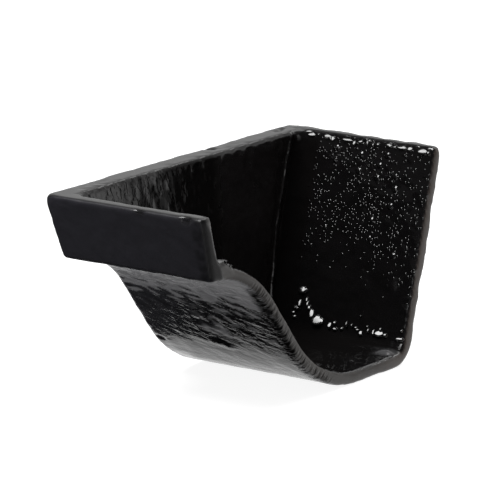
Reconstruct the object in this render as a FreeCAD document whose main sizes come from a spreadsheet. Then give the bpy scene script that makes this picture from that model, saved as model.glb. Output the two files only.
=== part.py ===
"""Cast-iron ogee gutter stop end: one casting, open on top and at its joining end.

The frame: X runs along the gutter, with the closed end at negative X and the open joining end at
positive X. Y runs from the moulded front to the back, which meets the fascia board. Z = 0 is the
flat underside, and the origin lies under the middle of the top rim.
"""

import FreeCAD, Part
import math
import os

import Sketcher
from FreeCAD import Vector

# Driving dimensions, in millimetres: alias, value, meaning.
SIZES = [
    ("overall_width", 115.0, "front edge to back edge, across the top"),
    ("overall_length", 54.5, "along the gutter, at the top rim"),
    ("overall_height", 61.0, "underside to top rim"),
    ("band_height", 18.3, "height of the flat leaning band along the front and the closed end"),
    ("front_setback", 4.3, "how far the front band's foot stands in from its top"),
    ("end_setback", 3.4, "how far the closed end's band stands in at its foot"),
    ("end_bend", 25.0, "easing of the closed end where its band turns upright"),
    ("back_setback", 17.0, "how far the back wall's foot stands in from its top"),
    ("cove_radius", 33.0, "outside radius of the hollow under the front band"),
    ("flank_length", 17.5, "length of the straight flank between cove and belly"),
    ("heel_radius", 8.5, "outside radius where underside and back meet"),
    ("base_flat", 18.0, "width of the flat underside"),
    ("wall", 3.7, "thickness of the moulded front, underside and back"),
    ("band_wall", 4.5, "thickness of the front band"),
    ("end_wall", 7.2, "thickness of the closed end at the rim"),
    ("end_draft", 1.8, "how far the closed end's inner face stands in at the underside"),
    ("inside_radius", 5.0, "cast fillets in the corners of the trough"),
    ("edge_radius", 1.1, "rounding of the rims and outside arrises"),
]

# How far a cutting outline runs past the rim that it opens.
OVERCUT = 2.0

# Where the trough's floor meets the front band, seen from the cove's centre, in degrees.
NOSE_ANGLE = 83

# Edges are sharp where their faces turn by more than this, and a probe this far from an edge's
# middle tells an inner corner from an arris.
SHARP = math.radians(20)
PROBE = 0.05

CENTRE = 3
ORIGIN = (-1, 1)
HORIZONTAL_AXIS = -1


def make_sheet(doc):
    """The spreadsheet with every driving dimension."""
    sheet = doc.addObject("Spreadsheet::Sheet", "Sizes")
    for row, (alias, value, meaning) in enumerate(SIZES, start=1):
        sheet.set(f"A{row}", alias)
        sheet.set(f"B{row}", str(value))
        sheet.set(f"C{row}", meaning)
        sheet.setAlias(f"B{row}", alias)
    doc.recompute()
    return sheet


def origin_plane(body, role):
    """One of the body's own origin planes."""
    return next(item for item in body.Origin.OriginFeatures if item.Role == role)


def new_sketch(body, name, role):
    """An empty sketch on one of the body's origin planes."""
    sketch = body.newObject("Sketcher::SketchObject", name)
    sketch.AttachmentSupport = [(origin_plane(body, role), "")]
    sketch.MapMode = "FlatFace"
    return sketch


def joining_sketch(body, name):
    """An empty sketch on the plane of the open joining end, with Y across and Z up."""
    sketch = new_sketch(body, name, "YZ_Plane")
    sketch.setExpression("AttachmentOffset.Base.z", "Sizes.overall_length / 2")
    return sketch


def dimension(sketch, kind, *where, start, size):
    """A sketch dimension that follows an expression on the sheet."""
    index = sketch.addConstraint(Sketcher.Constraint(kind, *where, start))
    sketch.setExpression(f"Constraints[{index}]", size)


def rules(sketch, *entries):
    """Geometric constraints without a size."""
    for kind, *where in entries:
        sketch.addConstraint(Sketcher.Constraint(kind, *where))


def line(start, end):
    """A straight sketch edge between two (x, y) places."""
    return Part.LineSegment(Vector(*start, 0), Vector(*end, 0))


def arc(centre, radius, first, last):
    """A sketch arc, anticlockwise between two angles in degrees."""
    circle = Part.Circle(Vector(*centre, 0), Vector(0, 0, 1), radius)
    return Part.ArcOfCircle(circle, math.radians(first), math.radians(last))


def moulding(size):
    """Rough places for the moulded front: the centres of cove and belly, the belly's radius and
    the flank's slope in degrees, from the run and drop between its level ends."""
    half = size.overall_width / 2
    drop = size.overall_height - size.band_height
    lean = math.atan2(size.back_setback, size.overall_height)
    heel_run = size.heel_radius * math.tan((math.pi / 2 - lean) / 2)
    cove = (-half + size.front_setback, drop - size.cove_radius)
    belly_y = half - size.back_setback - heel_run - size.base_flat
    run = belly_y - cove[0]
    both = (run**2 + drop**2 - size.flank_length**2) / (2 * drop)
    belly = (belly_y, both - size.cove_radius)
    slope = math.atan2(both, size.flank_length) - math.atan2(both - drop, run)
    return cove, belly, math.degrees(slope)


def on_circle(centre, radius, angle):
    """The (x, y) place on a circle at an angle in degrees."""
    turn = math.radians(angle)
    return (centre[0] + radius * math.cos(turn), centre[1] + radius * math.sin(turn))


def outer_profile(body, size):
    """Section of the outside: leaning band, cove, flank, belly, flat underside, heel and back."""
    sketch = joining_sketch(body, "OuterProfile")
    half = size.overall_width / 2
    top = size.overall_height
    band_foot = (-half + size.front_setback, top - size.band_height)
    cove, belly, slope = moulding(size)
    heel = (belly[0] + size.base_flat, size.heel_radius)
    back_angle = -math.degrees(math.atan2(size.back_setback, top))

    band, hollow, flank, round_, base, turn, back, rim, foot = range(9)
    sketch.addGeometry([
        line((-half, top), band_foot),
        arc(cove, size.cove_radius, 90 - slope, 90),
        line(on_circle(cove, size.cove_radius, 90 - slope),
             on_circle(belly, belly[1], 270 - slope)),
        arc(belly, belly[1], 270 - slope, 270),
        line((belly[0], 0), (heel[0], 0)),
        arc(heel, size.heel_radius, 270, 360 + back_angle),
        line(on_circle(heel, size.heel_radius, back_angle), (half, top)),
        line((half, top), (-half, top)),
    ], False)
    sketch.addGeometry(Part.Point(Vector(half - size.back_setback, 0, 0)), True)
    rules(
        sketch,
        ("Coincident", band, 2, hollow, 2),
        ("Vertical", hollow, 2, hollow, CENTRE),
        ("Tangent", hollow, 1, flank, 1),
        ("Tangent", flank, 2, round_, 1),
        ("Tangent", round_, 2, base, 1),
        ("Tangent", base, 2, turn, 1),
        ("Tangent", turn, 2, back, 1),
        ("Coincident", back, 2, rim, 1),
        ("Coincident", rim, 2, band, 1),
        ("Horizontal", rim),
        ("Horizontal", base),
        ("PointOnObject", base, 1, HORIZONTAL_AXIS),
        ("PointOnObject", foot, 1, HORIZONTAL_AXIS),
        ("PointOnObject", foot, 1, back),
    )
    dimension(sketch, "DistanceX", *ORIGIN, back, 2, start=half, size="Sizes.overall_width / 2")
    dimension(sketch, "DistanceX", band, 1, *ORIGIN, start=half, size="Sizes.overall_width / 2")
    dimension(sketch, "DistanceY", *ORIGIN, back, 2, start=top, size="Sizes.overall_height")
    dimension(sketch, "DistanceY", band, 2, band, 1, start=size.band_height,
              size="Sizes.band_height")
    dimension(sketch, "DistanceX", band, 1, band, 2, start=size.front_setback,
              size="Sizes.front_setback")
    dimension(sketch, "DistanceX", foot, 1, back, 2, start=size.back_setback,
              size="Sizes.back_setback")
    dimension(sketch, "DistanceX", base, 1, base, 2, start=size.base_flat, size="Sizes.base_flat")
    dimension(sketch, "Distance", flank, start=size.flank_length, size="Sizes.flank_length")
    dimension(sketch, "Radius", hollow, start=size.cove_radius, size="Sizes.cove_radius")
    dimension(sketch, "Radius", turn, start=size.heel_radius, size="Sizes.heel_radius")
    return sketch


def trough_profile(body, outer, size):
    """Section of the trough: the outside offset by the walls, run up past the rim."""
    sketch = joining_sketch(body, "TroughProfile")
    for edge in ("Edge1", "Edge2", "Edge3", "Edge4", "Edge7"):
        sketch.addExternal(outer.Name, edge)
    outer_band, outer_hollow, outer_flank, outer_round, outer_back = (-3, -4, -5, -6, -7)

    half = size.overall_width / 2
    above = size.overall_height + OVERCUT
    cove, belly, slope = moulding(size)
    cove_radius = size.cove_radius + size.wall
    belly_radius = belly[1] - size.wall
    nose = on_circle(cove, cove_radius, NOSE_ANGLE)
    back_foot = (half - size.back_setback - size.wall, size.wall)

    band, hollow, flank, round_, base, back, rim = range(7)
    sketch.addGeometry([
        line((-half + size.band_wall, above), nose),
        arc(cove, cove_radius, 90 - slope, NOSE_ANGLE),
        line(on_circle(cove, cove_radius, 90 - slope),
             on_circle(belly, belly_radius, 270 - slope)),
        arc(belly, belly_radius, 270 - slope, 270),
        line((belly[0], size.wall), back_foot),
        line(back_foot, (half - size.wall, above)),
        line((half - size.wall, above), (-half + size.band_wall, above)),
    ], False)
    rules(
        sketch,
        ("Coincident", hollow, CENTRE, outer_hollow, CENTRE),
        ("Coincident", round_, CENTRE, outer_round, CENTRE),
        ("Tangent", hollow, 1, flank, 1),
        ("Tangent", flank, 2, round_, 1),
        ("Tangent", round_, 2, base, 1),
        ("Coincident", base, 2, back, 1),
        ("Coincident", back, 2, rim, 1),
        ("Coincident", rim, 2, band, 1),
        ("Coincident", band, 2, hollow, 2),
        ("Horizontal", base),
        ("Horizontal", rim),
        ("Parallel", band, outer_band),
        ("Parallel", back, outer_back),
    )
    dimension(sketch, "Distance", band, 1, outer_band, start=size.band_wall,
              size="Sizes.band_wall")
    dimension(sketch, "Distance", flank, 1, outer_flank, start=size.wall, size="Sizes.wall")
    dimension(sketch, "Distance", back, 2, outer_back, start=size.wall, size="Sizes.wall")
    dimension(sketch, "DistanceY", *ORIGIN, back, 2, start=above,
              size=f"Sizes.overall_height + {OVERCUT}")
    return sketch


def add_block(doc, body, size):
    """The outside form, drawn back from the joining end at full length."""
    profile = outer_profile(body, size)
    doc.recompute()
    block = body.newObject("PartDesign::Pad", "OuterForm")
    block.Profile = profile
    block.Reversed = True
    block.setExpression("Length", "Sizes.overall_length")
    doc.recompute()
    return profile


def end_outline(body, size):
    """Side view of what falls away at the closed end: the band leans in from the rim, and below
    its foot the end is upright."""
    sketch = new_sketch(body, "EndOutline", "XZ_Plane")
    left = -size.overall_length / 2
    top = size.overall_height
    foot_x = left + size.end_setback
    foot_z = top - size.band_height
    lean = math.degrees(math.atan2(size.end_setback, size.band_height))
    centre = (foot_x - size.end_bend, foot_z - size.end_bend * math.tan(math.radians(lean / 2)))

    band, bend, upright, foot, side, corner = range(6)
    sketch.addGeometry([
        line((left, top), on_circle(centre, size.end_bend, lean)),
        arc(centre, size.end_bend, 0, lean),
        line((foot_x, centre[1]), (foot_x, 0)),
        line((foot_x, 0), (left, 0)),
        line((left, 0), (left, top)),
    ], False)
    sketch.addGeometry(Part.Point(Vector(foot_x, foot_z, 0)), True)
    rules(
        sketch,
        ("Tangent", band, 2, bend, 2),
        ("Tangent", bend, 1, upright, 1),
        ("Coincident", upright, 2, foot, 1),
        ("Coincident", foot, 2, side, 1),
        ("Coincident", side, 2, band, 1),
        ("Vertical", upright),
        ("Horizontal", foot),
        ("Vertical", side),
        ("PointOnObject", foot, 1, HORIZONTAL_AXIS),
        ("PointOnObject", corner, 1, band),
        ("PointOnObject", corner, 1, upright),
    )
    dimension(sketch, "DistanceX", foot, 2, *ORIGIN, start=-left, size="Sizes.overall_length / 2")
    dimension(sketch, "DistanceY", side, 1, side, 2, start=top, size="Sizes.overall_height")
    dimension(sketch, "DistanceY", corner, 1, band, 1, start=size.band_height,
              size="Sizes.band_height")
    dimension(sketch, "DistanceX", foot, 2, foot, 1, start=size.end_setback,
              size="Sizes.end_setback")
    dimension(sketch, "Radius", bend, start=size.end_bend, size="Sizes.end_bend")
    return sketch


def add_end_band(doc, body, size):
    """The closed end's leaning band and upright lower face, cut across the whole width."""
    profile = end_outline(body, size)
    doc.recompute()
    wedge = body.newObject("PartDesign::Pocket", "EndBand")
    wedge.Profile = profile
    wedge.Type = "ThroughAll"
    wedge.Midplane = True
    doc.recompute()


def add_trough(doc, body, outer, size):
    """The trough, cut in from the joining end up to the closed end's drafted inner face."""
    stop = body.newObject("PartDesign::Plane", "EndInside")
    stop.AttachmentSupport = [(origin_plane(body, "YZ_Plane"), "")]
    stop.MapMode = "FlatFace"
    stop.AttachmentOffset = FreeCAD.Placement(Vector(0, 0, 0), Vector(-1, 0, 0), 1)
    stop.setExpression("AttachmentOffset.Base.y", "Sizes.overall_height")
    stop.setExpression("AttachmentOffset.Base.z", "Sizes.end_wall - Sizes.overall_length / 2")
    stop.setExpression("AttachmentOffset.Rotation.Angle",
                       "atan(Sizes.end_draft / Sizes.overall_height)")
    profile = trough_profile(body, outer, size)
    doc.recompute()
    trough = body.newObject("PartDesign::Pocket", "Trough")
    trough.Profile = profile
    trough.Type = "UpToFace"
    trough.UpToFace = (stop, "")
    doc.recompute()


def edges_where(shape, concave):
    """Names of the sharp edges of one kind: the trough's inner corners, or the arrises."""
    names = []
    for number, edge in enumerate(shape.Edges, start=1):
        sides = shape.ancestorsOfType(edge, Part.Face)
        if len(sides) != 2:
            continue
        middle = edge.valueAt((edge.FirstParameter + edge.LastParameter) / 2)
        first, second = (side.normalAt(*side.Surface.parameter(middle)) for side in sides)
        if first.getAngle(second) < SHARP:
            continue
        if shape.isInside(middle + (first - second) * PROBE, 1e-6, True) == concave:
            names.append(f"Edge{number}")
    return names


def add_rounding(doc, body, name, concave, size):
    """One fillet over every sharp edge of a kind."""
    base = body.Tip
    fillet = body.newObject("PartDesign::Fillet", name)
    fillet.Base = (base, edges_where(base.Shape, concave))
    fillet.setExpression("Radius", size)
    doc.recompute()


def check(doc, body):
    """Stop on any failed feature or unsound solid."""
    for item in doc.Objects:
        if "Invalid" in item.State or "Error" in item.State:
            raise RuntimeError(f"{item.Label} failed: {item.State}")
    if body.Shape.isNull() or not body.Shape.isValid():
        raise RuntimeError(f"{body.Label} has no sound shape")
    if len(body.Shape.Solids) != 1:
        raise RuntimeError(f"{body.Label} has {len(body.Shape.Solids)} solids")


def main():
    """Build the casting and write its file."""
    doc = FreeCAD.newDocument("GutterStopEnd")
    size = make_sheet(doc)
    body = doc.addObject("PartDesign::Body", "StopEnd")
    body.Label = "stop_end"
    body.Placement = FreeCAD.Placement()
    doc.recompute()

    outer = add_block(doc, body, size)
    block_volume = body.Shape.Volume
    add_end_band(doc, body, size)
    banded_volume = body.Shape.Volume
    add_trough(doc, body, outer, size)
    if not body.Shape.Volume < banded_volume < block_volume:
        raise RuntimeError("a cut took nothing away")
    add_rounding(doc, body, "CornerFillets", True, "Sizes.inside_radius")
    add_rounding(doc, body, "Arrises", False, "Sizes.edge_radius")

    check(doc, body)
    os.makedirs("parts", exist_ok=True)
    body.Shape.exportStep(f"parts/{body.Label}.step")
    box = body.Shape.optimalBoundingBox()
    print(f"{body.Label}: {body.Shape.Volume:.0f} mm3, X {box.XMin:.2f} to {box.XMax:.2f}, "
          f"Y {box.YMin:.2f} to {box.YMax:.2f}, Z {box.ZMin:.2f} to {box.ZMax:.2f}")


main()
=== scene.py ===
"""A cast-iron ogee gutter end cap in gloss black paint, on a pale floor under soft studio light."""

import logging
import math
from collections.abc import Mapping, Sequence
from dataclasses import dataclass
from enum import Enum
from typing import TypeAlias

import bpy
import numpy as np
from mathutils import Euler, Matrix, Vector, noise


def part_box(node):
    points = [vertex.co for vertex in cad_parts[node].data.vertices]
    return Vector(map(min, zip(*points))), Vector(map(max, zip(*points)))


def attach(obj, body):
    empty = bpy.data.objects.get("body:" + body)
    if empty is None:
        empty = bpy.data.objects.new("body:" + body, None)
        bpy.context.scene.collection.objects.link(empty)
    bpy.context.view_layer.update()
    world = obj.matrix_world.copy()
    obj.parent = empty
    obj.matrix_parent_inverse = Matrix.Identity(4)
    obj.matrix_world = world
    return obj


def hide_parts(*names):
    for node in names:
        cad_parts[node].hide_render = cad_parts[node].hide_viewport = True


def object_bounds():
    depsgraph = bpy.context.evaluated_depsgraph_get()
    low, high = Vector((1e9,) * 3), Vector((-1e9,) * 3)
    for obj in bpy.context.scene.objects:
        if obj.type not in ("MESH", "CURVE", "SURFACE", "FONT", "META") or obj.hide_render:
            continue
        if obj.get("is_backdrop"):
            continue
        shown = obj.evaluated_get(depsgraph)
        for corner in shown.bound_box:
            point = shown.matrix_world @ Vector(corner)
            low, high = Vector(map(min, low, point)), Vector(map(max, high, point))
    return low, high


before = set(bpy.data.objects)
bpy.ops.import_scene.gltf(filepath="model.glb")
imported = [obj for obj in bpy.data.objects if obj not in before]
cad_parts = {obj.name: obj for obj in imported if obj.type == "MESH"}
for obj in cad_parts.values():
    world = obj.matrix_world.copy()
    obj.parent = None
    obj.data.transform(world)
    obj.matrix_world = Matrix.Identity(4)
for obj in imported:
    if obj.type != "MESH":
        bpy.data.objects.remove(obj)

CAD_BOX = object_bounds()
MM = 0.001
LOG = logging.getLogger("gutter_end_cap")

Colour: TypeAlias = tuple[float, float, float]
Triple: TypeAlias = tuple[float, float, float]
Line: TypeAlias = tuple[Triple, ...]
Number: TypeAlias = "float | Socket"

# Turns of a pattern, in degrees, that lay its grain along the rim's or the flank's slope.
LEVEL: Triple = (0.0, 0.0, 0.0)
RIM_TURN: Triple = (52.3, 0.0, 0.0)
FLANK_TURN: Triple = (52.3, 0.0, -20.0)


# Shader expressions


class Socket:
    """One output socket of a shader node, usable in Python arithmetic."""

    def __init__(self, tree: "Shader", socket: bpy.types.NodeSocket) -> None:
        """Wrap a socket.

        Args:
            tree: the shader that the socket belongs to.
            socket: the output socket.
        """
        self.tree = tree
        self.socket = socket

    def _math(self, operation: str, *values: Number) -> "Socket":
        """A Math node over these values.

        Args:
            operation: the Math node's operation.
            values: its inputs, in order.

        Returns:
            The node's result.
        """
        return self.tree.node(
            "ShaderNodeMath", {"operation": operation}, dict(enumerate(values)))

    def __add__(self, other: Number) -> "Socket":
        """Sum."""
        return self._math("ADD", self, other)

    def __radd__(self, other: float) -> "Socket":
        """Sum, with the number first."""
        return self._math("ADD", other, self)

    def __sub__(self, other: Number) -> "Socket":
        """Difference."""
        return self._math("SUBTRACT", self, other)

    def __rsub__(self, other: float) -> "Socket":
        """Difference, with the number first."""
        return self._math("SUBTRACT", other, self)

    def __mul__(self, other: Number) -> "Socket":
        """Product."""
        return self._math("MULTIPLY", self, other)

    def __rmul__(self, other: float) -> "Socket":
        """Product, with the number first."""
        return self._math("MULTIPLY", other, self)

    def __truediv__(self, other: Number) -> "Socket":
        """Quotient."""
        return self._math("DIVIDE", self, other)

    def __rtruediv__(self, other: float) -> "Socket":
        """Quotient, with the number first."""
        return self._math("DIVIDE", other, self)

    def __neg__(self) -> "Socket":
        """The opposite sign."""
        return self._math("MULTIPLY", self, -1.0)

    def at_least(self, floor: Number) -> "Socket":
        """The larger of this and another value."""
        return self._math("MAXIMUM", self, floor)

    def step(self, low: float, high: float) -> "Socket":
        """A smooth step.

        Args:
            low: where the step starts, at 0.
            high: where it ends, at 1.

        Returns:
            The stepped value.
        """
        return self.tree.node(
            "ShaderNodeMapRange", {"interpolation_type": "SMOOTHSTEP"},
            {"Value": self, "From Min": low, "From Max": high})

    def bell(self, width: float) -> "Socket":
        """A soft bump around zero.

        Args:
            width: distance from zero at which it has fallen to about a third.

        Returns:
            A value from 1 at zero down to 0.
        """
        scaled = self / width
        return self._math("EXPONENT", -(scaled * scaled))


class Shader:
    """The node tree of one material or world, filled by one node-making method."""

    def __init__(self, owner: bpy.types.Material | bpy.types.World) -> None:
        """Start with an empty tree.

        Args:
            owner: the material or world that is dressed.
        """
        owner.use_nodes = True
        self.tree = owner.node_tree
        self.tree.nodes.clear()

    def node(self, kind: str, settings: Mapping[str, object] | None = None,
             values: Mapping[str | int, object] | None = None, out: str | int = 0) -> Socket:
        """Add a node.

        Args:
            kind: the node's type.
            settings: attributes of the node, set before its sockets.
            values: numbers, colours or sockets for its inputs, by name or place.
            out: the output that is wanted.

        Returns:
            That output.
        """
        node = self.tree.nodes.new(kind)
        for name, setting in (settings or {}).items():
            setattr(node, name, setting)
        for name, value in (values or {}).items():
            target = node.inputs[name]
            if isinstance(value, Socket):
                self.tree.links.new(value.socket, target)
            else:
                target.default_value = value
        outputs = node.outputs
        return Socket(self, outputs[out]) if len(outputs) else Socket(self, None)

    def place(self) -> Socket:
        """Object coordinates, in metres."""
        return self.node("ShaderNodeTexCoord", out="Object")

    def axis(self, letter: str) -> Socket:
        """One object coordinate, in millimetres."""
        return self.node("ShaderNodeSeparateXYZ", {}, {0: self.place()}, out=letter) / MM

    def attribute(self, name: str) -> Socket:
        """A number kept on the mesh's vertices."""
        return self.node("ShaderNodeAttribute", {"attribute_name": name}, out="Fac")

    def noise(self, stretch: Triple, turn: Triple = LEVEL, detail: float = 2.0,
              swirl: float = 0.0, shift: Triple = (0, 0, 0)) -> Socket:
        """Noise over the object.

        Args:
            stretch: size of a feature along each axis, in millimetres.
            turn: turn of the pattern about each axis, in degrees.
            detail: octaves of finer noise.
            swirl: how far the pattern is stirred.
            shift: offset of the pattern, in features.

        Returns:
            A value from 0 to 1, about 0.5 on average.
        """
        turned = self.node(
            "ShaderNodeMapping", {},
            {"Vector": self.place(), "Rotation": tuple(math.radians(a) for a in turn)})
        scaled = self.node(
            "ShaderNodeMapping", {},
            {"Vector": turned, "Scale": tuple(1 / (s * MM) for s in stretch),
             "Location": shift})
        return self.node(
            "ShaderNodeTexNoise", {},
            {"Vector": scaled, "Scale": 1.0, "Detail": detail, "Distortion": swirl})

    def dots(self, spacing: float, radius: float, share: Number) -> Socket:
        """Scattered round domes.

        Args:
            spacing: distance between neighbours, in millimetres.
            radius: radius of a dome, in millimetres.
            share: share of the places that have one.

        Returns:
            A value from 0 beside the domes to 1 on their tops.
        """
        values = {"Vector": self.place(), "Scale": 1 / (spacing * MM)}
        away = self.node("ShaderNodeTexVoronoi", {}, values, out="Distance") * (spacing / radius)
        pick = self.node("ShaderNodeTexVoronoi", {}, values, out="Color")
        chance = self.node("ShaderNodeSeparateXYZ", {}, {0: pick}, out="X")
        chosen = (chance + share).step(1.0, 1.02)
        return (1.0 - away * away).at_least(0.0) * chosen


# Finishes


class Zone(Enum):
    """Parts of the casting's surface that have their own texture or finish, or painted sheen or
    painted shade.
    """

    SAND = "sand"
    END = "end"
    FLOOR = "floor"
    STREAK = "streak"
    CURTAIN = "curtain"
    VEIL = "veil"
    FOOT = "foot"
    LIP = "lip"
    ARRIS = "arris"
    BAND = "band"
    SAWN = "sawn"
    TOP = "top"
    # Pale grey in the moulding's hollow, on flecks and on the blister: a painted sheen.
    HOLLOW = "hollow"
    BACK = "back"
    DRIP = "drip"
    # Matt near-black share: painted shade in corners, on the trough floor, the closed end and the
    # rim's edge.
    SOOT = "painted_shade"
    WORN = "worn"
    PALE = "pale"


Weights: TypeAlias = Mapping[Zone, np.ndarray]
Shares: TypeAlias = tuple[tuple[Zone, float], ...]
RELIEF = (Zone.SAND, Zone.END, Zone.FLOOR, Zone.STREAK, Zone.CURTAIN, Zone.FOOT, Zone.LIP,
          Zone.ARRIS, Zone.SOOT)


@dataclass(frozen=True)
class PaintRelief:
    """Heights of the paint film's patterns, in millimetres."""

    peel: float = 0.03
    pimple: float = 0.20
    drop: float = 0.52
    sag: float = 0.05
    bead: float = 0.35
    dash: float = 0.40
    streak: float = 0.32
    curtain: float = 0.55
    stroke: float = 0.80
    seam: float = 0.42


@dataclass(frozen=True)
class GlossPaint:
    """Thick gloss black paint over a rough sand casting."""

    colour: Colour = (0.0029, 0.0027, 0.0028)
    # Matt near-black for painted shade, and for the dark strokes on the rim.
    shade_and_stroke_colour: Colour = (0.0030, 0.0027, 0.0027)
    band_colour: Colour = (0.0106, 0.0101, 0.0133)
    sawn_colour: Colour = (0.0305, 0.027, 0.0245)
    # Pale grey that stands in for the hollow's reflected light: a painted sheen.
    hollow_sheen_colour: Colour = (0.174, 0.173, 0.179)
    pale_gain: Colour = (1.05, 0.90, 0.84)
    band_fade: float = 0.006
    drip_cover: float = 0.85
    wear: float = 0.8
    gloss_roughness: float = 0.11
    satin_level: float = 0.30
    satin_roughness: float = 0.24
    common_film: float = 0.76
    film_changes: Shares = (
        (Zone.BAND, -0.66), (Zone.SAWN, -0.56), (Zone.TOP, -0.28), (Zone.VEIL, -0.26),
        (Zone.HOLLOW, -0.50), (Zone.BACK, 0.24), (Zone.FLOOR, 0.24), (Zone.DRIP, 0.80),
        (Zone.FOOT, 0.24))
    roughness_changes: Shares = (
        (Zone.BAND, 0.20), (Zone.SAWN, 0.25), (Zone.TOP, 0.10), (Zone.HOLLOW, 0.08))
    stroke_matt: float = 0.7
    cloud_gain: tuple[float, float] = (0.7, 0.6)
    cloud_roughness: float = 0.10
    relief: PaintRelief = PaintRelief()

    def film(self, zone: Weights) -> np.ndarray:
        """Share of each vertex that shines in full.

        Args:
            zone: each vertex's weights.

        Returns:
            One value from 0 for satin to 1 for gloss at each vertex.
        """
        share = self.common_film + sum(
            change * zone[part] for part, change in self.film_changes)
        return np.clip(share, 0.0, 1.0)

    def roughness(self, zone: Weights) -> np.ndarray:
        """Roughness of the satin share.

        Args:
            zone: each vertex's weights.

        Returns:
            One roughness for each vertex.
        """
        return self.satin_roughness + sum(
            change * zone[part] for part, change in self.roughness_changes)

    def tint(self, zone: Weights, along: np.ndarray) -> np.ndarray:
        """Colour of the paint, with a pale grey painted sheen in the moulding's hollow.

        Args:
            zone: each vertex's weights.
            along: each vertex's place along the gutter, in millimetres.

        Returns:
            One row of red, green, blue and 1 for each vertex.
        """
        paint = np.tile(np.array(self.colour), (len(along), 1))
        clean = 1.0 - self.drip_cover * np.clip(zone[Zone.DRIP], 0.0, 1.0)
        fading = 1.0 - self.band_fade * along
        for colour, share in ((self.band_colour, zone[Zone.BAND] * fading),
                              # The hollow's pale grey is a painted sheen.
                              (self.hollow_sheen_colour, zone[Zone.HOLLOW]),
                              (self.sawn_colour, zone[Zone.SAWN])):
            part = (share * clean)[:, None]
            paint = paint * (1.0 - part) + np.array(colour) * part
        paint = paint * (1.0 - self.wear * zone[Zone.WORN])[:, None]
        paint = paint * (1.0 + zone[Zone.PALE][:, None] * np.array(self.pale_gain))
        return np.column_stack([paint, np.ones(len(along))])

    def height(self, shader: Shader) -> Socket:
        """Relief of the paint film.

        Args:
            shader: the material's nodes.

        Returns:
            Height in millimetres.
        """
        high = self.relief
        sand = shader.attribute(Zone.SAND.value)
        peel = (shader.noise((2.2, 2.2, 2.2)) - 0.5) * high.peel
        pimples = shader.dots(0.95, 0.42, sand * 0.55) * high.pimple
        drops = shader.dots(3.1, 1.15, sand * 0.4) * high.drop
        sag = shader.noise((1.4, 1.4, 2.4), detail=2.0, shift=(3, 1, 7))
        bead = shader.noise((2.3, 2.0, 2.0), detail=1.0, shift=(2, 6, 4))
        dash = shader.noise((2.6, 1.7, 1.7), detail=1.0, shift=(7, 2, 9))
        streak = shader.noise((3.6, 1.7, 1.7), FLANK_TURN, 2.0, 1.1, (5, 2, 1))
        curtain = shader.noise((2.5, 1.7, 3.8), (-14, 0, 0), 2.0, 0.8)
        relief = peel + pimples + drops + self.seam(shader)
        for zone, pattern, height in (
                (Zone.FLOOR, sag, high.sag), (Zone.FOOT, bead, high.bead),
                (Zone.LIP, dash, high.dash), (Zone.CURTAIN, curtain, high.curtain),
                (Zone.ARRIS, self.strokes(shader), high.stroke),
                (Zone.STREAK, streak, high.streak)):
            relief = relief + shader.attribute(zone.value) * ((pattern - 0.5) * height)
        return relief

    def strokes(self, shader: Shader) -> Socket:
        """Short strokes across the rim of the moulded front, from 0 to 1."""
        return shader.noise((2.0, 0.8, 3.4), RIM_TURN, 1.0, 0.3, (1, 8, 4))

    def seam(self, shader: Shader) -> Socket:
        """The thin raised seam down the closed end, beside the back corner.

        Args:
            shader: the material's nodes.

        Returns:
            Height in millimetres.
        """
        above_bend = shader.axis("Z") - 33.3
        wander = (shader.noise((9, 9, 5), detail=3.0) - 0.5) * 1.4
        line = 40.06 + 0.164 * above_bend + 0.162 * above_bend.at_least(0) + wander
        ridge = (shader.axis("Y") - line).bell(0.85)
        return ridge * shader.attribute(Zone.END.value) * self.relief.seam

    def build(self) -> bpy.types.Material:
        """Make the material.

        Returns:
            The paint: gloss and satin mixed, and matt where shade is painted in and on the rim's
                dark strokes.
        """
        material = bpy.data.materials.new("painted_iron")
        shader = Shader(material)
        cloud = shader.noise((7.0, 2.4, 2.4), FLANK_TURN, detail=3.0)
        tint = shader.node("ShaderNodeAttribute", {"attribute_name": "tint"}, out="Color")
        darkest, spread = self.cloud_gain
        colour = shader.node(
            "ShaderNodeVectorMath", {"operation": "SCALE"},
            {0: tint, "Scale": darkest + spread * cloud})
        film = shader.attribute("film")
        rough = shader.attribute("rough") + self.cloud_roughness * cloud
        normal = shader.node(
            "ShaderNodeBump", {},
            {"Height": self.height(shader), "Distance": MM, "Strength": 1.0})
        satin = shader.node(
            "ShaderNodeBsdfPrincipled", {},
            {"Base Color": colour, "Roughness": rough, "Normal": normal,
             "Specular IOR Level": self.satin_level})
        gloss = shader.node(
            "ShaderNodeBsdfPrincipled", {},
            {"Base Color": colour, "Roughness": self.gloss_roughness, "Normal": normal})
        shine = shader.node("ShaderNodeMixShader", {}, {0: film, 1: satin, 2: gloss})
        matt = shader.node(
            "ShaderNodeBsdfDiffuse", {}, {"Color": (*self.shade_and_stroke_colour, 1.0), "Normal": normal})
        # The matt share: painted shade, plus the dark strokes across the rim.
        dark_strokes = (shader.attribute(Zone.ARRIS.value)
                        * self.strokes(shader).step(0.42, 0.66))
        dull = shader.attribute(Zone.SOOT.value) + self.stroke_matt * dark_strokes
        paint = shader.node("ShaderNodeMixShader", {}, {0: dull, 1: shine, 2: matt})
        shader.node("ShaderNodeOutputMaterial", {}, {"Surface": paint})
        return material


@dataclass(frozen=True)
class PaleFloor:
    """A plain pale floor that reads white and keeps the object's shadow."""

    colour: Colour = (0.32, 0.32, 0.32)
    glow: float = 0.90

    def build(self) -> bpy.types.Material:
        """Make the material.

        Returns:
            A matt floor with a glow where it is seen.
        """
        material = bpy.data.materials.new("pale_floor")
        shader = Shader(material)
        paper = shader.node("ShaderNodeBsdfDiffuse", {}, {"Color": (*self.colour, 1.0)})
        glow = shader.node("ShaderNodeEmission", {},
                           {"Color": (1, 1, 1, 1), "Strength": sight(shader) * self.glow})
        both = shader.node("ShaderNodeAddShader", {}, {0: paper, 1: glow})
        shader.node("ShaderNodeOutputMaterial", {}, {"Surface": both})
        return material


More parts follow.
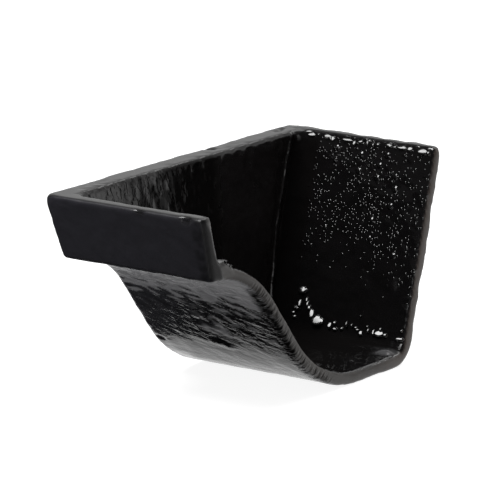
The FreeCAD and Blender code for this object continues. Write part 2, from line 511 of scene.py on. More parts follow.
@dataclass(frozen=True)
class BlackCard:
    """The matt face of a studio card that keeps reflections dark."""

    colour: Colour = (0.055, 0.055, 0.062)

    def build(self) -> bpy.types.Material:
        """Make the material.

        Returns:
            A matt near-black.
        """
        material = bpy.data.materials.new("black_card")
        shader = Shader(material)
        face = shader.node("ShaderNodeBsdfDiffuse", {}, {"Color": (*self.colour, 1.0)})
        shader.node("ShaderNodeOutputMaterial", {}, {"Surface": face})
        return material


def sight(shader: Shader) -> Socket:
    """Whether a ray is seen by the camera, in a reflection or through something clear.

    Args:
        shader: the nodes that ask.

    Returns:
        1 for such a ray, 0 for one that only lights.
    """
    camera = shader.node("ShaderNodeLightPath", out="Is Camera Ray")
    glossy = shader.node("ShaderNodeLightPath", out="Is Glossy Ray")
    through = shader.node("ShaderNodeLightPath", out="Is Transmission Ray")
    return camera.at_least(glossy).at_least(through)


# Modelling by operators


def deselect() -> None:
    """Leave every object out of the selection, in object mode."""
    if bpy.context.object and bpy.context.object.mode != "OBJECT":
        bpy.ops.object.mode_set(mode="OBJECT")
    bpy.ops.object.select_all(action="DESELECT")


def activate(obj: bpy.types.Object) -> None:
    """Select one object alone and make it active.

    Args:
        obj: the object.
    """
    deselect()
    obj.select_set(True)
    bpy.context.view_layer.objects.active = obj


def apply_modifier(obj: bpy.types.Object, kind: str, settings: Mapping[str, object]) -> None:
    """Add a modifier and apply it.

    Args:
        obj: the mesh.
        kind: the modifier's type.
        settings: its settings by name.
    """
    activate(obj)
    modifier = obj.modifiers.new(kind.title(), kind)
    for name, setting in settings.items():
        setattr(modifier, name, setting)
    bpy.ops.object.modifier_apply(modifier=modifier.name)


def coordinates(mesh: bpy.types.Mesh, normals: bool = False) -> np.ndarray:
    """Vertex places in millimetres, or vertex normals.

    Args:
        mesh: the mesh.
        normals: whether normals are wanted.

    Returns:
        One row of three numbers for each vertex.
    """
    source = mesh.vertex_normals if normals else mesh.vertices
    flat = np.zeros(len(mesh.vertices) * 3, np.float32)
    source.foreach_get("vector" if normals else "co", flat)
    return flat.reshape(-1, 3) * (1.0 if normals else 1.0 / MM)


def smooth_step(values: np.ndarray, low: float, high: float) -> np.ndarray:
    """A smooth step from 0 to 1.

    Args:
        values: the values to step.
        low: where the step starts.
        high: where it ends.

    Returns:
        One value from 0 to 1 for each.
    """
    t = np.clip((values - low) / (high - low), 0.0, 1.0)
    return t * t * (3.0 - 2.0 * t)


def blotches(place: np.ndarray, size: float, contrast: float = 1.4) -> np.ndarray:
    """Cloudy patches.

    Args:
        place: vertex places.
        size: size of a patch, in the same unit.
        contrast: how hard the patches' edges are.

    Returns:
        A value from 0 to 1 for each place.
    """
    clouds = np.array([0.5 + contrast * noise.noise(row) for row in place / size])
    return np.clip(clouds, 0.0, 1.0)


def near_line(place: np.ndarray, line: Line, width: float) -> np.ndarray:
    """How close each vertex lies to a line through some points.

    Args:
        place: vertex places, in millimetres.
        line: the points.
        width: distance at which the result has fallen to about a third.

    Returns:
        A value from 1 on the line down to 0.
    """
    away = np.full(len(place), np.inf)
    for start, end in zip(np.array(line[:-1]), np.array(line[1:])):
        run = end - start
        along = np.clip((place - start) @ run / max(run @ run, 1e-9), 0.0, 1.0)
        offset = place - start - along[:, None] * run
        away = np.minimum(away, np.linalg.norm(offset, axis=1))
    return np.exp(-((away / width) ** 2))


# The casting


@dataclass(frozen=True)
class Moulding:
    """Outer outline of the moulded front, seen along the gutter, in millimetres.

    It runs from a hollow cove through a straight flank to a round belly.
    """

    cove_middle: tuple[float, float] = (-53.2, 9.7)
    cove_radius: float = 33.0
    flank_point: tuple[float, float] = (-27.05, 29.83)
    flank_inward: tuple[float, float] = (0.792, 0.610)
    belly_from: float = -16.4
    belly_middle: tuple[float, float] = (16.05, 40.91)
    belly_radius: float = 40.91

    def depth(self, y: np.ndarray, z: np.ndarray) -> np.ndarray:
        """How deep places lie behind the outline.

        Args:
            y: places across the gutter.
            z: their heights.

        Returns:
            One depth for each place.
        """
        cove = np.hypot(y - self.cove_middle[0], z - self.cove_middle[1]) - self.cove_radius
        flank = (self.flank_inward[0] * (y - self.flank_point[0])
                 + self.flank_inward[1] * (z - self.flank_point[1]))
        belly = self.belly_radius - np.hypot(y - self.belly_middle[0], z - self.belly_middle[1])
        return np.where(y < self.flank_point[0], cove, np.where(y < self.belly_from, flank, belly))


@dataclass
class Blob:
    """A low dome of paint or iron on the surface, in millimetres."""

    at: Triple
    radii: Triple
    lean: float = 0.0
    turn: float = 0.0
    segments: int = 24

    def build(self) -> bpy.types.Object:
        """Model the dome as a squashed ball.

        Returns:
            The new object, in place.
        """
        deselect()
        bpy.ops.mesh.primitive_uv_sphere_add(
            segments=self.segments, ring_count=self.segments // 2, radius=1.0)
        ball = bpy.context.object
        bpy.ops.object.mode_set(mode="EDIT")
        bpy.ops.mesh.select_all(action="SELECT")
        bpy.ops.transform.resize(value=tuple(r * MM for r in self.radii))
        bpy.ops.object.mode_set(mode="OBJECT")
        lean = Matrix.Rotation(math.radians(self.lean), 4, "X")
        turn = Matrix.Rotation(math.radians(self.turn), 4, "Z")
        ball.data.transform(Matrix.Translation(Vector(self.at) * MM) @ turn @ lean)
        return ball


@dataclass(frozen=True)
class Dent:
    """A small hollow along a line on the surface, in millimetres."""

    line: Line
    width: float = 1.1
    depth: float = 0.65


@dataclass
class Bead:
    """A flat drop of paint on the inside of the back wall, in millimetres.

    Its face looks towards the key lamp, so that it shines white.
    """

    along: float
    up: float
    width: float
    tall: float
    thickness: float = 0.2
    spread: float = 0.70
    stand_off: float = 0.34
    wall_foot: float = 36.6
    wall_lean: float = 0.281
    wall_facing: tuple[float, float] = (-0.96, 0.27)

    def build(self) -> bpy.types.Object:
        """Model the drop as a leaning disc with a rounded face.

        Returns:
            The new object, in place.
        """
        radii = [self.spread * shine for shine in (self.width, self.tall)]
        out = self.stand_off * radii[1]
        wall = self.wall_foot + self.wall_lean * self.up
        facing_y, facing_z = self.wall_facing
        at = (self.along, wall + facing_y * out, self.up + facing_z * out)
        return LitDrop(at, (radii[0], self.thickness, radii[1])).build()


@dataclass
class LitDrop(Blob):
    """A small dome whose flat face looks towards the key lamp."""

    lean: float = -39.0
    turn: float = 19.0
    segments: int = 14


@dataclass(frozen=True)
class PaintMarks:
    """Lines along which paint has gathered or been rubbed, and where sheen is painted on the
    blister and the flank's flecks, in millimetres.
    """

    foot: Line = (
        (-10.4, 41.3, 16.5), (-8.4, 40.5, 13.7), (-5.9, 39.5, 10.1), (-3.2, 39.2, 9.3),
        (1.0, 38.9, 7.9), (6.0, 38.7, 7.5), (18.2, 38.9, 8.1), (26.2, 38.8, 7.7))
    corner: Line = ((-10.4, 41.3, 16.5), (-11.2, 40.4, 13.3), (-12.8, 39.2, 9.1))
    # A blister on the trough floor, also painted paler: a painted sheen on it.
    blister: Line = ((21.8, 33.9, 3.8), (24.8, 34.3, 3.9))
    lip: Line = ((-16.5, 53.4, 60.2), (25.0, 53.4, 60.2))
    drips: tuple[Line, ...] = (
        ((26.6, -47.2, 47.5), (27.0, -43.9, 45.8)), ((21.2, -57.1, 59.8), (22.2, -57.1, 59.8)),
        ((5.4, -57.1, 60.3), (6.4, -57.1, 60.3)))
    # Light flecks on the flank's dark band: painted sheen, in the hollow's pale grey.
    flecks: tuple[Line, ...] = (
        ((-0.5, -18.9, 19.2), (4.5, -18.2, 18.2)), ((5.0, -19.5, 20.1), (6.0, -17.5, 17.6)))


@dataclass(frozen=True)
class Skin:
    """Where the casting's vertices lie, in millimetres, and which way they face."""

    place: np.ndarray
    normal: np.ndarray

    @classmethod
    def of(cls, mesh: bpy.types.Mesh) -> "Skin":
        """The skin of a mesh."""
        return cls(coordinates(mesh), coordinates(mesh, normals=True))

    def axes(self) -> tuple[np.ndarray, ...]:
        """Places along the gutter, across it and up, then the normals' three parts."""
        return (*self.place.T, *self.normal.T)


@dataclass(frozen=True)
class Zoning:
    """Sorts the casting's vertices into zones by where they lie and which way they face.

    Places are in millimetres. A soft edge of a zone is a smooth step between two places.
    """

    skin: Skin
    marks: PaintMarks = PaintMarks()
    moulding: Moulding = Moulding()
    top: float = 61.0
    band_front: float = -57.3
    band_lean: float = 0.235
    band_edge: tuple[float, float] = (1.3, 2.6)
    sawn_edge: tuple[float, float] = (1.6, 3.0)
    inside_from: float = -21.0
    rim_from: float = 20.0

    def weights(self) -> dict[Zone, np.ndarray]:
        """How far each vertex belongs to each zone.

        Returns:
            One weight from 0 to 1 for each vertex and zone.
        """
        x, y, z, nx, _, nz = self.skin.axes()
        end = smooth_step(nx, 0.75, 0.97) * (x < -10)
        floor = smooth_step(nz, 0.3, 0.6) * (z < 46)
        shade = self._shade()
        worn_depth = self._worn_depth()
        pale = smooth_step(y, 20.0, 40.0) * smooth_step(nx, 0.3, 0.7) * (x > self.rim_from)
        drips = sum(near_line(self.skin.place, drip, 1.2) for drip in self.marks.drips)
        # Painted shade: matt in the corners, on the rim's outer edge, on the closed end and on the
        # trough floor, plus the worn strip on the band's cut end.
        dull = (self._corner_shade() + 0.8 * shade + 0.8 * self._end_shade(end)
                + 0.7 * self._worn_end(worn_depth)
                + 0.9 * floor * smooth_step(22.0 - x, 0.0, 14.0))
        return {
            Zone.END: end,
            Zone.FLOOR: floor,
            Zone.SOOT: (1.0 - self._near_foot(1.9, 1.7)) * np.clip(dull, 0.0, 1.0),
            Zone.DRIP: drips,
            Zone.PALE: pale + 0.9 * end,
            Zone.TOP: smooth_step(nz, 0.6, 0.9) * (z > 58),
            Zone.VEIL: end * smooth_step(-y, 0.0, 18.0),
            Zone.CURTAIN: end * self._curtain(),
            **self._back_wall(),
            **self._front(shade),
            **self._band(worn_depth),
        }

    def _near_foot(self, foot_width: float, corner_width: float) -> np.ndarray:
        """How close each vertex lies to the paint gathered at the back wall's foot.

        Args:
            foot_width: reach of the line along the foot.
            corner_width: reach of the line up the corner.

        Returns:
            A value from 1 on the lines down to 0.
        """
        return np.maximum(near_line(self.skin.place, self.marks.foot, foot_width),
                          near_line(self.skin.place, self.marks.corner, corner_width))

    def _back_wall(self) -> dict[Zone, np.ndarray]:
        """The back wall's inner face, its speckled part and the paint at its foot and top.

        Returns:
            The weights of these zones.
        """
        x, y, z, _, ny, nz = self.skin.axes()
        back = smooth_step(-ny, 0.75, 0.95) * smooth_step(nz, 0.05, 0.2) * (y > 20)
        speckled_height = smooth_step(z + 0.02 * np.maximum(x, 0.0) ** 2, 20.0, 42.0)
        speckled_along = smooth_step(x, -15.0, -12.5) * (1.15 - 0.55 * smooth_step(x, 10.0, 24.0))
        return {
            Zone.BACK: back,
            Zone.SAND: back * speckled_height * speckled_along,
            Zone.FOOT: self._near_foot(0.9, 0.8),
            Zone.LIP: near_line(self.skin.place, self.marks.lip, 1.0),
        }

    def _curtain(self) -> np.ndarray:
        """Where paint has run down the closed end, with a ragged edge.

        Returns:
            One weight for each vertex.
        """
        _, y, z, *_ = self.skin.axes()
        spatter = blotches(np.column_stack([0.0 * y, y / 2.2, z / 4.5 + 3.0]), 1.0)
        reach = smooth_step(16.0 * (spatter - 0.5) - y, 2.0, 15.0)
        return reach * (0.4 + 0.6 * smooth_step(y, -46.0, -32.0))

    def _end_shade(self, end: np.ndarray) -> np.ndarray:
        """Painted shade on the closed end: matt patches, ragged towards the front.

        Args:
            end: the closed end's own weights.

        Returns:
            One weight for each vertex.
        """
        _, y, z, *_ = self.skin.axes()
        runs = blotches(np.column_stack([0.0 * y, (y + 0.25 * z) / 1.9, z / 8.0]), 1.0)
        holes = blotches(np.column_stack([0.0 * y, y / 1.6, z / 3.6]), 1.0)
        shading = (1.6 * smooth_step(y, -40.0, -13.0) * runs + 1.2 * smooth_step(y, -17.0, -9.0)
                   - 0.9 * smooth_step(holes, 0.62, 0.74) * smooth_step(y, -22.0, -12.0))
        return end * smooth_step(-y, -16.0, -9.0) * np.clip(shading, 0.0, 1.0)

    def _corner_shade(self) -> np.ndarray:
        """Painted shade in the corners: matt behind the seam, and along the back wall's foot.

        Returns:
            One weight for each vertex.
        """
        x, y, z, nx, ny, nz = self.skin.axes()
        inside = x > self.inside_from
        behind_seam = (smooth_step(-12.0 - x, 0.0, 2.0) * smooth_step(0.985 - nx, 0.0, 0.03)
                       * smooth_step(y, 33.0, 37.0) * smooth_step(60.0 - z, 0.0, 2.5)
                       * smooth_step(0.7 - nz, 0.0, 0.2) * (ny < 0.2) * inside)
        up_facing = smooth_step(nz, 0.2, 0.4)
        deep_foot = (smooth_step(8.0 - z, 0.0, 2.0) * smooth_step(12.0 - x, 0.0, 16.0)
                     * up_facing * inside * smooth_step(y, 24.0, 34.0))
        open_foot = (smooth_step(7.5 - z, 0.0, 1.0) * up_facing * (x > 0)
                     * smooth_step(y, 36.2, 37.2))
        return behind_seam + deep_foot + open_foot

    def _shade(self) -> np.ndarray:
        """Painted shade along the outer edge of the moulded front's rim.

        Returns:
            One weight for each vertex.
        """
        x, y, z, *_ = self.skin.axes()
        depth = self.moulding.depth(y, z)
        return (smooth_step(x, 22.6, 25.6) * (1.0 - smooth_step(depth, 0.0, 1.6))
                * (0.45 + 0.55 * blotches(self.skin.place, 2.6))
                * smooth_step(38.5 - z, 0.0, 5.0) * smooth_step(z, 10.0, 17.0))

    def _front(self, shade: np.ndarray) -> dict[Zone, np.ndarray]:
        """The moulded front: the painted sheen in its hollow, the streaked flank and the strokes on
        its rim.

        Args:
            shade: the rim's dull outer edge.

        Returns:
            The weights of these zones.
        """
        x, y, z, nx, ny, nz = self.skin.axes()
        place = self.skin.place
        below = smooth_step(-nz, -0.1, 0.35) * smooth_step(-ny, -0.6, 0.0)
        down = 0.61 * y - 0.79 * z
        run, cross = 0.94 * x + 0.34 * down, 0.94 * down - 0.34 * x
        ragged = blotches(np.column_stack([run / 5.0, cross / 1.5, 0.0 * x]), 1.0)
        # Where the cove's painted sheen gives way to the dark flank, with a ragged edge.
        sheen_edge = -27.4 + 0.04 * x + 5.0 * (ragged - 0.5)
        flecks = sum(near_line(place, fleck, 1.4) for fleck in self.marks.flecks)
        flecks = flecks * (0.2 + 0.8 * blotches(place, 2.0))
        spots = blotches(np.column_stack([run / 3.6, cross / 1.6, z / 9.0 + 7.0]), 1.0)
        flecks = flecks + (0.5 * smooth_step(spots, 0.76, 0.94) * smooth_step(x, -6.0, 6.0)
                           * smooth_step(24.5 - x, 0, 2))
        # Painted sheen: the pale cove, plus light flecks on the flank.
        hollow = np.clip(smooth_step(sheen_edge - y, -0.8, 1.0)
                         + flecks * (z > 13) * smooth_step(30.0 - z, 0.0, 3.0), 0.0, 1.0)
        # The blister is painted paler too: a painted sheen on it.
        blister = 0.3 * near_line(place, self.marks.blister, 1.8) * (nz > 0.2)
        rim_end = smooth_step(40.0 - z, 0.0, 4.0) * smooth_step(4.0 - y, 0.0, 6.0)
        skin_deep = 1.0 - smooth_step(self.moulding.depth(y, z), 1.2, 3.3)
        streaked = smooth_step(42.9 - z, 0.0, 0.8) * smooth_step(0.7 - nx, 0, 0.4)
        fading = (0.35 + 0.65 * smooth_step(z, 9.0, 18.0)) * (0.55 + 0.45 * smooth_step(x, -16, 0))
        return {
            Zone.HOLLOW: below * (z < 42.5) * (1.0 - 0.9 * shade) * hollow + blister,
            Zone.ARRIS: smooth_step(x, 23.6, 25.4) * skin_deep * rim_end,
            Zone.STREAK: below * streaked * fading,
        }

    def _front_depth(self) -> np.ndarray:
        """How far each vertex lies behind the band's leaning face."""
        _, y, z, *_ = self.skin.axes()
        return y - self.band_front - self.band_lean * (self.top - z)

    def _worn_depth(self) -> np.ndarray:
        """How far each vertex lies behind the worn strip, which widens downwards.

        Returns:
            One depth for each vertex.
        """
        _, _, z, *_ = self.skin.axes()
        return (self._front_depth() - 1.4 * smooth_step(60.0 - z, 0.0, 4.0)
                - 1.6 * smooth_step(51.0 - z, 0.0, 6.0))

    def _worn_end(self, worn_depth: np.ndarray) -> np.ndarray:
        """The worn strip on the band's cut end.

        Args:
            worn_depth: how far each vertex lies behind that strip.

        Returns:
            One weight for each vertex.
        """
        x, y, z, nx, *_ = self.skin.axes()
        return (smooth_step(nx, 0.4, 0.8) * (x > 23) * (z > 42.5) * (y < -40)
                * (1.0 - smooth_step(worn_depth, *self.band_edge)))

    def _band(self, worn_depth: np.ndarray) -> dict[Zone, np.ndarray]:
        """The leaning front band with its arrises, and the sawn end of the casting.

        Args:
            worn_depth: how far each vertex lies behind the worn strip.

        Returns:
            The weights of these zones.
        """
        x, y, z, nx, ny, nz = self.skin.axes()
        face = smooth_step(-ny, 0.85, 0.95) * (z > 42) * (y < -50)
        top_arris = ((y < -50) * (z > 58) * smooth_step(-ny, 0.2, 0.5)
                     * (1.0 - smooth_step(nz, 0.75, 0.95)))
        end_arris = ((x > 22) * (z > 42.2) * (1.0 - smooth_step(nz, 0.3, 0.6))
                     * (1.0 - smooth_step(self._front_depth(), *self.band_edge)))
        band = np.maximum(np.maximum(face, top_arris), end_arris)
        whole = self.sawn_edge[1]
        sawn_depth = np.where(z > 42.5, worn_depth, whole)
        faded = 1.0 - 0.45 * smooth_step(z, 43.0, 50.0) * (y < -40)
        return {
            Zone.BAND: band,
            Zone.WORN: band * smooth_step(x, 22.6, 24.6) * blotches(self.skin.place, 1.7),
            Zone.SAWN: (smooth_step(nx, 0.6, 0.9) * (x > self.rim_from)
                        * smooth_step(sawn_depth, *self.sawn_edge) * faded),
        }


@dataclass(frozen=True)
class Roughness:
    """One cloud pattern that moves the surface, sized in millimetres."""

    name: str
    size: Triple
    depth: float
    turn: Triple = LEVEL


@dataclass
class Casting:
    """The whole end cap: trough, band, moulding, back and closed end in one piece of iron."""

    node: str = "stop_end"
    slot: str = "painted_iron"
    grain: float = 0.62
    group_levels: int = 20
    box_margin: float = 1e-6
    merge_distance: float = 1e-6
    lumps: Roughness = Roughness("lumps", (14, 14, 14), 0.55)
    knobs: Roughness = Roughness("knobs", (5, 5, 5), 0.7)
    wobble: Roughness = Roughness("rim", (3.4, 3.4, 3.4), 0.75)
    pits: Roughness = Roughness("pits", (3.2, 3.2, 3.2), 0.22)
    sand: Roughness = Roughness("sand", (1.4, 1.4, 1.4), 0.12)
    pools: Roughness = Roughness("pools", (2.2, 2.2, 2.2), 0.16)
    runs: Roughness = Roughness("runs", (6.5, 2.6, 2.6), 0.34, FLANK_TURN)
    drips: Roughness = Roughness("drips", (4, 2.4, 8), 0.35)
    dents: tuple[Dent, ...] = (
        Dent(((-23.0, 46.0, 61.0), (-24.4, 49.8, 61.0))),
        Dent(((-25.3, 15.2, 61.0), (-24.3, 16.2, 61.0))),
        Dent(((-22.0, -13.2, 12.3), (-20.6, -12.8, 11.8)), 0.8, 0.5),
        Dent(((27.0, -45.5, 46.7), (27.0, -44.8, 46.3))),
        Dent(((21.2, -57.2, 59.9), (22.4, -57.2, 60.1)), 1.1, 0.85),
        Dent(((5.2, -57.1, 60.5), (6.6, -57.1, 60.5)), 1.0, 0.2),
        Dent(((-26.2, -57.2, 61.0), (-25.9, -57.2, 60.0)), 1.6, 0.8),
        Dent(((27.2, 57.1, 61.0), (27.2, 57.1, 60.0)), 1.8, 0.55),
    )
    blobs: tuple[Blob, ...] = (
        Blob((23.2, 34.2, 3.7), (2.9, 1.9, 0.9), 15.0),
        Blob((0.8, -15.2, 14.5), (2.6, 0.55, 1.4), 43.0),
        Blob((4.2, -14.4, 13.5), (2.0, 0.5, 1.1), 43.0),
        Blob((25.6, -45.6, 45.8), (2.0, 3.8, 1.4), -28.0),
    )
    nose_drops: tuple[Blob, ...] = (
        LitDrop((26.6, -46.6, 47.3), (1.4, 0.25, 0.7)),
        LitDrop((27.0, -44.2, 45.9), (0.8, 0.25, 0.5)),
    )
    corner_beads: tuple[Bead, ...] = (
        Bead(-10.4, 16.4, 2.6, 1.7), Bead(-10.9, 12.6, 1.2, 1.9), Bead(-11.6, 11.3, 1.8, 1.2),
        Bead(-12.8, 9.8, 1.1, 0.8), Bead(-12.2, 8.6, 1.4, 0.8),
    )
    foot_beads: tuple[Bead, ...] = (
        Bead(-8.6, 13.8, 0.8, 1.3), Bead(-8.1, 12.8, 0.8, 1.5), Bead(-7.4, 11.7, 1.0, 1.3),
        Bead(-6.1, 10.2, 1.5, 2.1), Bead(-3.7, 8.7, 3.1, 2.4), Bead(0.6, 7.8, 1.2, 1.5),
        Bead(2.2, 8.8, 0.9, 0.9), Bead(2.7, 7.1, 1.5, 0.9), Bead(4.9, 7.5, 0.9, 0.9),
        Bead(6.4, 9.0, 0.7, 1.5), Bead(8.2, 8.9, 0.6, 0.9), Bead(10.7, 11.9, 0.6, 0.6),
        Bead(9.7, 8.4, 0.9, 0.6), Bead(10.4, 7.8, 0.9, 0.6), Bead(11.7, 7.1, 1.2, 1.2),
        Bead(14.1, 8.2, 0.6, 0.9), Bead(13.6, 9.2, 0.6, 0.6), Bead(18.1, 7.9, 2.5, 1.5),
        Bead(16.1, 8.0, 0.7, 1.4), Bead(20.1, 7.7, 1.2, 0.9), Bead(18.2, 9.1, 0.6, 0.9),
        Bead(25.3, 7.4, 2.1, 1.0), Bead(25.4, 9.7, 0.6, 0.6),
    )
    lip_beads: tuple[Bead, ...] = (
        Bead(-15.8, 59.6, 2.3, 1.0), Bead(-13.6, 59.9, 0.6, 0.6), Bead(-10.3, 59.7, 1.8, 1.1),
        Bead(-8.6, 59.4, 1.2, 1.1), Bead(-2.8, 59.6, 3.0, 0.9), Bead(-0.7, 59.0, 0.9, 1.4),
        Bead(1.4, 59.5, 1.2, 0.7), Bead(3.8, 59.4, 0.9, 1.4), Bead(6.0, 59.4, 0.6, 1.4),
        Bead(7.6, 59.6, 0.9, 0.9), Bead(11.6, 59.7, 1.8, 0.9), Bead(13.7, 59.6, 0.9, 0.9),
        Bead(16.4, 59.6, 3.0, 0.9), Bead(18.8, 59.6, 1.4, 0.9), Bead(23.4, 59.3, 2.7, 1.4),
        Bead(25.2, 59.1, 0.9, 0.9),
    )

    def build(self) -> bpy.types.Object:
        """Model and dress the casting.

        Returns:
            The finished piece.
        """
        piece = self._copy_of_node()
        self._add(piece, self.blobs)
        apply_modifier(piece, "REMESH", {"mode": "VOXEL", "voxel_size": self.grain * MM,
                                         "use_smooth_shade": True})
        apply_modifier(piece, "SMOOTH", {"factor": 0.5, "iterations": 2})
        self._add(piece, self.nose_drops + self.corner_beads + self.foot_beads + self.lip_beads)
        zones = Zoning(Skin.of(piece.data)).weights()
        self._roughen(piece, zones)
        self._fit_in_box(piece)
        self._keep_finish(piece, zones)
        piece.data.materials.clear()
        piece.data.materials.append(GlossPaint().build())
        for polygon in piece.data.polygons:
            polygon.use_smooth = True
        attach(piece, "root")
        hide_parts(self.node)
        return piece

    def _copy_of_node(self) -> bpy.types.Object:
        """Copy the CAD node's mesh and merge its corners.

        Returns:
            The copy, as a new object.
        """
        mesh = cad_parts[self.node].data.copy()
        piece = bpy.data.objects.new("casting", mesh)
        bpy.context.scene.collection.objects.link(piece)
        activate(piece)
        bpy.ops.object.mode_set(mode="EDIT")
        bpy.ops.mesh.select_all(action="SELECT")
        bpy.ops.mesh.remove_doubles(threshold=self.merge_distance)
        bpy.ops.object.mode_set(mode="OBJECT")
        return piece

    def _add(self, piece: bpy.types.Object, marks: Sequence[Blob | Bead]) -> None:
        """Join domes or drops of paint to the casting.

        Args:
            piece: the casting.
            marks: the domes or drops.
        """
        domes = [mark.build() for mark in marks]
        activate(piece)
        for dome in domes:
            dome.select_set(True)
        bpy.ops.object.join()

    def _roughen(self, piece: bpy.types.Object, zones: Weights) -> None:
        """Displace the surface as sand, sags and lumps.

        Args:
            piece: the casting.
            zones: each vertex's weights.
        """
        everywhere = np.ones(len(piece.data.vertices))
        place = coordinates(piece.data)
        x, y, z = place.T
        for dent in self.dents:
            self._push_in(piece, near_line(place, dent.line, dent.width), dent.depth)
        end_rim = (smooth_step(z, 56.5, 59.0) * smooth_step(-x, 17.5, 19.0)
                   * smooth_step(x, -24.5, -21.5))
        for pattern, weights in (
                (self.lumps, everywhere), (self.knobs, smooth_step(y, 38.0, 44.0)),
                (self.wobble, end_rim), (self.pits, everywhere), (self.sand, zones[Zone.SAND]),
                (self.pools, zones[Zone.FLOOR]), (self.runs, zones[Zone.STREAK]),
                (self.drips, zones[Zone.CURTAIN])):
            self._displace(piece, pattern, weights)

    def _weigh(self, piece: bpy.types.Object, name: str, weights: np.ndarray) -> None:
        """Keep weights as a vertex group, in a few levels.

        Args:
            piece: the casting.
            name: the group's name.
            weights: strength at each vertex.
        """
        group = piece.vertex_groups.new(name=name)
        levels = np.round(np.clip(weights, 0, 1) * self.group_levels).astype(int)
        for level in range(1, self.group_levels + 1):
            group.add(np.flatnonzero(levels == level).tolist(), level / self.group_levels,
                      "REPLACE")

    def _push_in(self, piece: bpy.types.Object, weights: np.ndarray, depth: float) -> None:
        """Push the surface in, against its normals.

        Args:
            piece: the casting.
            weights: strength at each vertex.
            depth: full depth, in millimetres.
        """
        self._weigh(piece, "dent", weights)
        apply_modifier(piece, "DISPLACE", {
            "vertex_group": "dent", "mid_level": 0.0, "strength": -depth * MM})
        piece.vertex_groups.clear()

    def _displace(self, piece: bpy.types.Object, pattern: Roughness,
                  weights: np.ndarray) -> None:
        """Displace along the normals by a cloud pattern.

        Args:
            piece: the casting.
            pattern: the pattern.
            weights: strength at each vertex.
        """
        self._weigh(piece, pattern.name, weights)
        clouds = bpy.data.textures.new(pattern.name, "CLOUDS")
        clouds.noise_scale = 1.0
        clouds.noise_depth = 2
        deselect()
        bpy.ops.object.empty_add()
        ruler = bpy.context.object
        ruler.scale = Vector(pattern.size) * MM
        turned = Euler([math.radians(angle) for angle in pattern.turn]).to_matrix()
        ruler.rotation_euler = turned.inverted().to_euler()
        bpy.context.view_layer.update()
        apply_modifier(piece, "DISPLACE", {
            "texture": clouds, "texture_coords": "OBJECT", "texture_coords_object": ruler,
            "vertex_group": pattern.name, "mid_level": 0.5, "strength": pattern.depth * MM})
        bpy.data.objects.remove(ruler)
        bpy.data.textures.remove(clouds)
        piece.vertex_groups.clear()

    def _fit_in_box(self, piece: bpy.types.Object) -> None:
        """Bring the roughened casting back to the CAD box's size and place.

        Args:
            piece: the casting.
        """
        flat = np.zeros(len(piece.data.vertices) * 3, np.float32)
        piece.data.vertices.foreach_get("co", flat)
        place = flat.reshape(-1, 3)
        low, high = (np.array(corner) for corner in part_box(self.node))
        place = np.clip(place, low, high)
        lowest = place.min(axis=0)
        scale = (high - low - 2 * self.box_margin) / (place.max(axis=0) - lowest)
        place = low + self.box_margin + (place - lowest) * scale
        piece.data.vertices.foreach_set("co", place.astype(np.float32).ravel())
        piece.data.update()

    def _keep_finish(self, piece: bpy.types.Object, zones: Weights) -> None:
        """Write on the mesh what the paint reads from it.

        Args:
            piece: the casting.
            zones: each vertex's weights.
        """
        paint = GlossPaint()
        kept = {zone.value: zones[zone] for zone in RELIEF}
        kept["film"] = paint.film(zones)
        kept["rough"] = paint.roughness(zones)
        for name, values in kept.items():
            attribute = piece.data.attributes.new(name, "FLOAT", "POINT")
            attribute.data.foreach_set("value", values.astype(np.float32))
        tint = piece.data.attributes.new("tint", "FLOAT_COLOR", "POINT")
        along = coordinates(piece.data)[:, 0]
        tint.data.foreach_set("color", paint.tint(zones, along).astype(np.float32).ravel())


# Studio and camera


@dataclass
class Lamp:
    """One soft area lamp."""

    name: str
    towards: Triple
    distance: float
    size: float
    power: float
    aim: Triple = (0.0, 0.0, 0.03)

    def build(self) -> bpy.types.Object:
        """Hang the lamp, facing the object's middle.

        Returns:
            The lamp object.
        """
        light = bpy.data.lights.new(self.name, "AREA")
        light.shape = "DISK"
        light.size = self.size
        light.energy = self.power
        lamp = bpy.data.objects.new(self.name, light)
        bpy.context.scene.collection.objects.link(lamp)
        direction = Vector(self.towards).normalized()
        lamp.location = Vector(self.aim) + direction * self.distance
        lamp.rotation_euler = direction.to_track_quat("Z", "Y").to_euler()
        return lamp


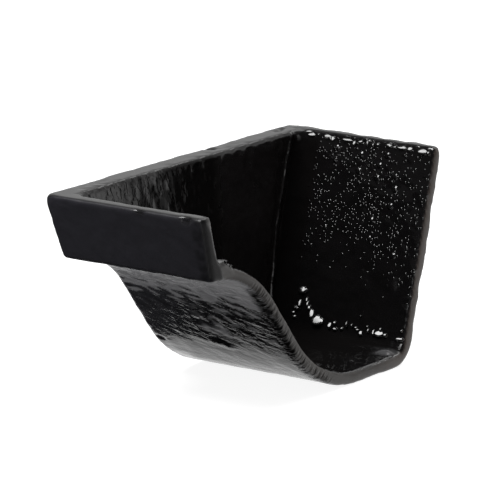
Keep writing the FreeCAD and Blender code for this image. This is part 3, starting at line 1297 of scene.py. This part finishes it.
@dataclass
class Studio:
    """The floor, the card, the lamps and the plain surroundings."""

    floor_size: float = 8.0
    surroundings: float = 0.35
    backdrop: float = 0.80
    far_room: float = 0.06
    card_low: tuple[float, float] = (-1200.0, -1200.0)
    card_high: tuple[float, float] = (70.0, -8.0)
    card_notches: tuple[tuple[float, float], ...] = ((-50.0, 0.0), (0.0, -7.0), (70.0, -6.0))
    lamps: tuple[Lamp, ...] = (
        Lamp("key", (-0.15, -0.45, 0.88), 0.9, 0.50, 12.0),
        Lamp("overhead", (0.1, 0.5, 1.0), 1.5, 1.4, 12.0),
    )

    def build(self) -> None:
        """Set up everything round the object."""
        deselect()
        bpy.ops.mesh.primitive_plane_add(size=self.floor_size)
        floor = bpy.context.object
        floor.name = "floor"
        floor.data.materials.append(PaleFloor().build())
        floor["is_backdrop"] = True
        self._lay_card()
        for lamp in self.lamps:
            lamp.build()
        self._surround()

    def _lay_card(self) -> None:
        """Lay a black card before the front, where only reflections see it.

        Its edge by the object is bent: each notch is a place along the edge and how far the
        edge is moved there.
        """
        low, high = Vector(self.card_low) * MM, Vector(self.card_high) * MM
        deselect()
        bpy.ops.mesh.primitive_plane_add(size=1.0)
        card = bpy.context.object
        card.name = "card"
        bpy.ops.object.mode_set(mode="EDIT")
        bpy.ops.mesh.select_mode(type="VERT")
        bpy.ops.mesh.select_all(action="SELECT")
        bpy.ops.transform.resize(value=(*(high - low), 1.0))
        bpy.ops.transform.translate(value=(*((low + high) / 2), 0.5 * MM))
        for along, _ in self.card_notches[:-1]:
            bpy.ops.mesh.select_all(action="SELECT")
            bpy.ops.mesh.bisect(plane_co=(along * MM, 0.0, 0.0), plane_no=(1.0, 0.0, 0.0))
        for along, shift in self.card_notches:
            bpy.ops.mesh.select_all(action="DESELECT")
            bpy.ops.object.mode_set(mode="OBJECT")
            for corner in card.data.vertices:
                at_notch = Vector((along * MM, high.y)) - corner.co.xy
                corner.select = at_notch.length < 0.1 * MM
            bpy.ops.object.mode_set(mode="EDIT")
            bpy.ops.transform.translate(value=(0.0, shift * MM, 0.0))
        bpy.ops.object.mode_set(mode="OBJECT")
        card.visible_camera = False
        card.visible_diffuse = False
        card.visible_shadow = False
        card.data.materials.append(BlackCard().build())
        card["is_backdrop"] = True

    def _surround(self) -> None:
        """Make the world white where seen, reflected as a pale backdrop and a dim room."""
        world = bpy.data.worlds.new("surroundings")
        bpy.context.scene.world = world
        shader = Shader(world)
        camera = shader.node("ShaderNodeLightPath", out="Is Camera Ray")
        way = shader.node("ShaderNodeTexCoord", out="Generated")
        back = shader.node("ShaderNodeSeparateXYZ", {}, {0: way}, out="Y")
        reflected = self.far_room + (self.backdrop - self.far_room) * back.step(-0.1, 0.7)
        backdrop = camera.at_least(reflected)
        seen = sight(shader)
        strength = seen * backdrop + (1.0 - seen) * self.surroundings
        sky = shader.node(
            "ShaderNodeBackground", {}, {"Color": (1, 1, 1, 1), "Strength": strength})
        shader.node("ShaderNodeOutputWorld", {}, {"Surface": sky})


@dataclass
class Viewpoint:
    """The camera, with its place given round the object as in the photograph."""

    turn: float = 36.5431
    tilt: float = 13.5062
    roll: float = -0.3459
    across: float = 0.5944
    above: float = 7.5298
    distance: float = 1265.3
    focal_pixels: float = 4500.0
    frame_pixels: float = 500.0
    sensor_width: float = 36.0
    aim: Triple = (0.0, 0.0, 30.0)

    def build(self) -> bpy.types.Object:
        """Create the camera and make it the scene's own.

        Returns:
            The camera object.
        """
        turn, tilt, roll = (math.radians(a) for a in (self.turn, self.tilt, self.roll))
        forward = Vector((-math.sin(turn) * math.cos(tilt), math.cos(turn) * math.cos(tilt),
                          -math.sin(tilt)))
        level = Vector((math.cos(turn), math.sin(turn), 0.0))
        upright = level.cross(forward)
        right = level * math.cos(roll) + upright * math.sin(roll)
        up = upright * math.cos(roll) - level * math.sin(roll)
        middle = Vector(self.aim) + level * self.across + upright * self.above
        place = (middle - forward * self.distance) * MM
        lens = bpy.data.cameras.new("camera")
        lens.sensor_width = self.sensor_width
        lens.lens = self.focal_pixels / self.frame_pixels * lens.sensor_width
        camera = bpy.data.objects.new("camera", lens)
        bpy.context.scene.collection.objects.link(camera)
        turned = Matrix((right, up, -forward)).transposed().to_4x4()
        camera.matrix_world = Matrix.Translation(place) @ turned
        bpy.context.scene.camera = camera
        return camera


def record_sizes() -> None:
    """Collect the CAD box and the visual model's box."""
    boxes = [[list(corner) for corner in box] for box in (CAD_BOX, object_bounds())]


def main() -> None:
    """Build the camera, the casting and the studio in order."""
    logging.basicConfig(level=logging.INFO, format="%(name)s: %(message)s")
    bpy.context.scene.view_settings.view_transform = "Standard"
    Viewpoint().build()
    casting = Casting().build()
    triangles = sum(len(face.vertices) - 2 for face in casting.data.polygons)
    LOG.info("%s: %d triangles", casting.name, triangles)
    Studio().build()
    record_sizes()


if __name__ == "__main__":
    main()
